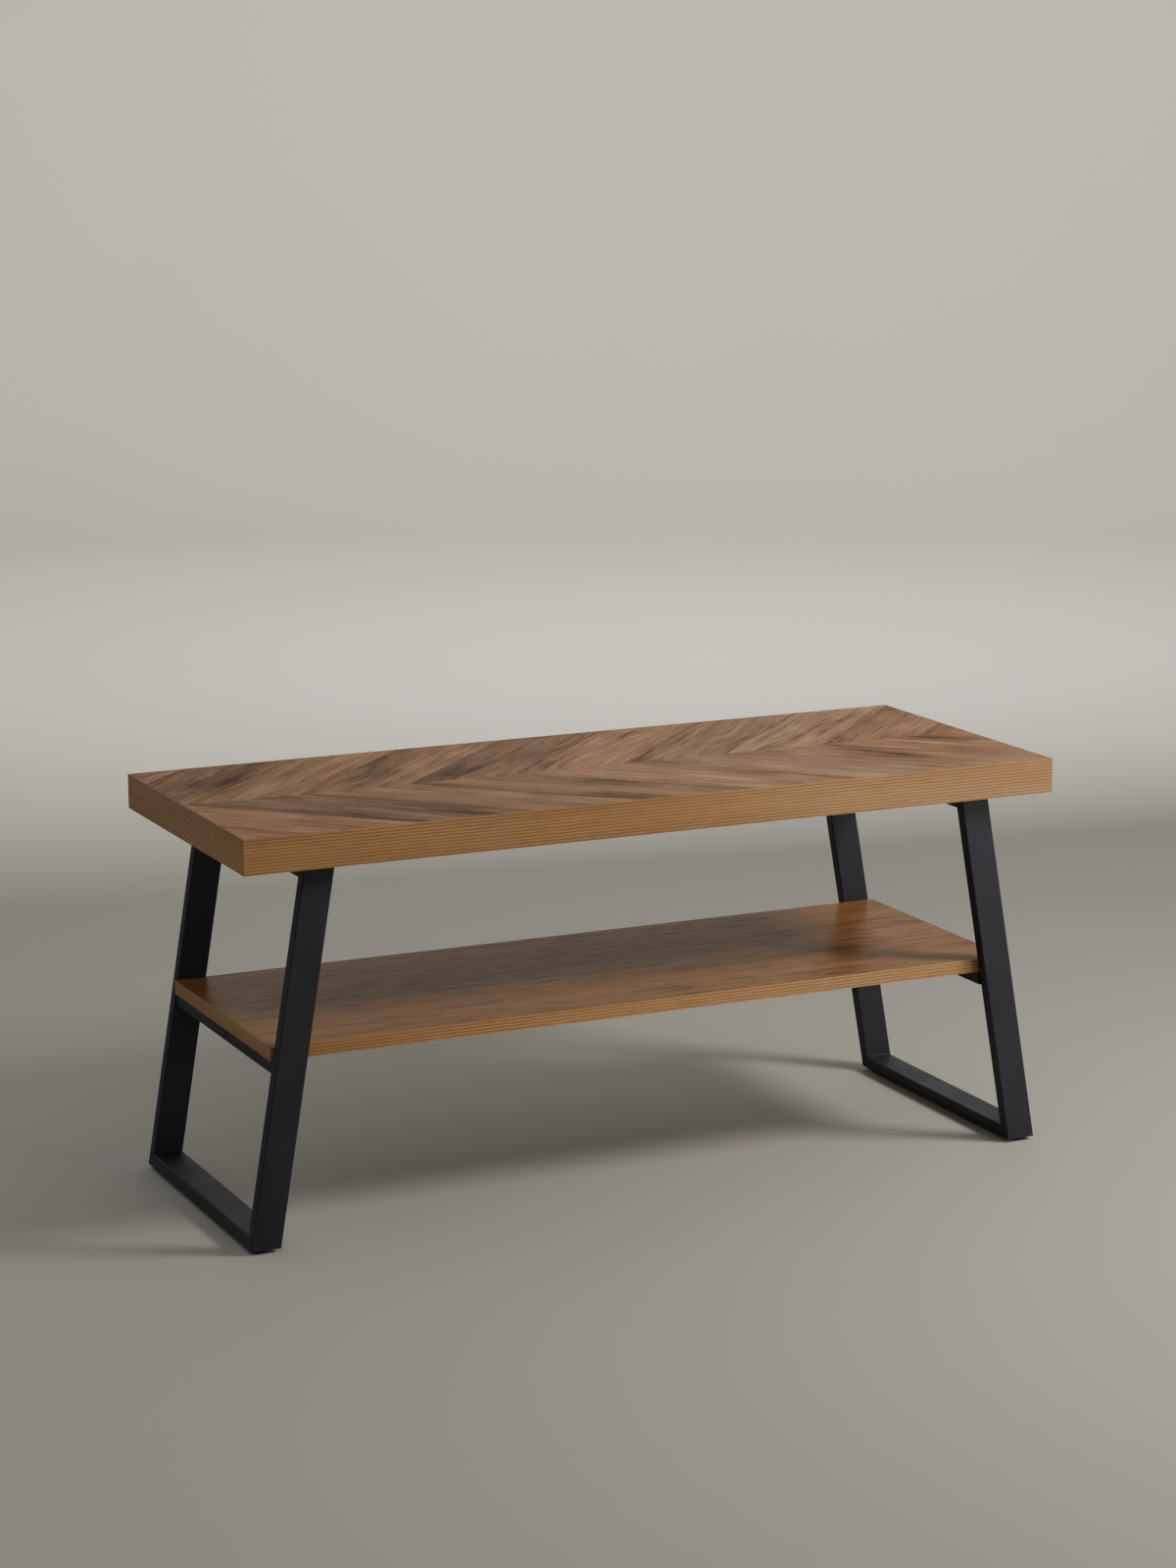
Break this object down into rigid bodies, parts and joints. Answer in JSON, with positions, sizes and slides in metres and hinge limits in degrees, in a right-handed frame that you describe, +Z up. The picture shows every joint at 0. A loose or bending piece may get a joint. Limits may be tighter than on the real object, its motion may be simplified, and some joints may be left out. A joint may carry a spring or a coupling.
{
  "type": "entryway bench",
  "caption": "Backless entryway bench with a thick chevron-faced wood top, a thin lower shoe shelf and leaning black steel loop frames on levelling feet.",
  "frame": {"origin": "centre of the bench on the floor plane under its feet", "axes": "+X along the length to the viewer's right, -Y towards the front, +Z up"},
  "size_m": [1, 0.397, 0.468],
  "materials": {
    "laminate_chevron": "satin printed wood-grain laminate in a chevron pattern",
    "laminate_shelf": "satin printed wood-grain laminate, grain along the length",
    "edge_band_wood": "satin straight-grain edge band",
    "particleboard": "raw pressed wood chips",
    "backing_paper": "matt brown backing sheet",
    "powder_coat": "fine-texture satin black powder coat on steel tube",
    "zinc_steel": "bright zinc-plated steel",
    "black_steel": "black-oxide steel",
    "foot_plastic": "moulded black nylon"
  },
  "bodies": {
    "bench": {"front_left_foot_nut": "zinc_steel", "front_left_shelf_screw": "black_steel", "front_left_top_bolt": "black_steel", "front_left_top_insert": "zinc_steel", "front_left_top_washer": "zinc_steel", "front_right_foot_nut": "zinc_steel", "front_right_shelf_screw": "black_steel", "front_right_top_bolt": "black_steel", "front_right_top_insert": "zinc_steel", "front_right_top_washer": "zinc_steel", "left_floor_rail": "powder_coat", "left_front_post": "powder_coat", "left_rear_post": "powder_coat", "left_shelf_bar": "powder_coat", "left_top_rail": "powder_coat", "rear_left_foot_nut": "zinc_steel", "rear_left_shelf_screw": "black_steel", "rear_left_top_bolt": "black_steel", "rear_left_top_insert": "zinc_steel", "rear_left_top_washer": "zinc_steel", "rear_right_foot_nut": "zinc_steel", "rear_right_shelf_screw": "black_steel", "rear_right_top_bolt": "black_steel", "rear_right_top_insert": "zinc_steel", "rear_right_top_washer": "zinc_steel", "right_floor_rail": "powder_coat", "right_front_post": "powder_coat", "right_rear_post": "powder_coat", "right_shelf_bar": "powder_coat", "right_top_rail": "powder_coat", "shelf_backing_sheet": "backing_paper", "shelf_core": "particleboard", "shelf_edge_band_front": "edge_band_wood", "shelf_edge_band_left": "edge_band_wood", "shelf_edge_band_rear": "edge_band_wood", "shelf_edge_band_right": "edge_band_wood", "shelf_woodgrain_face": "laminate_shelf", "top_backing_sheet": "backing_paper", "top_chevron_face": "laminate_chevron", "top_core": "particleboard", "top_edge_band_front": "edge_band_wood", "top_edge_band_left": "edge_band_wood", "top_edge_band_rear": "edge_band_wood", "top_edge_band_right": "edge_band_wood"},
    "front_left_foot": {"front_left_foot_pad": "foot_plastic", "front_left_foot_stud": "zinc_steel"},
    "rear_left_foot": {"rear_left_foot_pad": "foot_plastic", "rear_left_foot_stud": "zinc_steel"},
    "front_right_foot": {"front_right_foot_pad": "foot_plastic", "front_right_foot_stud": "zinc_steel"},
    "rear_right_foot": {"rear_right_foot_pad": "foot_plastic", "rear_right_foot_stud": "zinc_steel"}
  },
  "joints": [
    {"name": "front_left_foot_height", "type": "slide", "parent": "bench", "child": "front_left_foot", "axis": [0, 0, 1], "range_m": [-0.006, 0]},
    {"name": "rear_left_foot_height", "type": "slide", "parent": "bench", "child": "rear_left_foot", "axis": [0, 0, 1], "range_m": [-0.006, 0]},
    {"name": "front_right_foot_height", "type": "slide", "parent": "bench", "child": "front_right_foot", "axis": [0, 0, 1], "range_m": [-0.006, 0]},
    {"name": "rear_right_foot_height", "type": "slide", "parent": "bench", "child": "rear_right_foot", "axis": [0, 0, 1], "range_m": [-0.006, 0]}
  ]
}
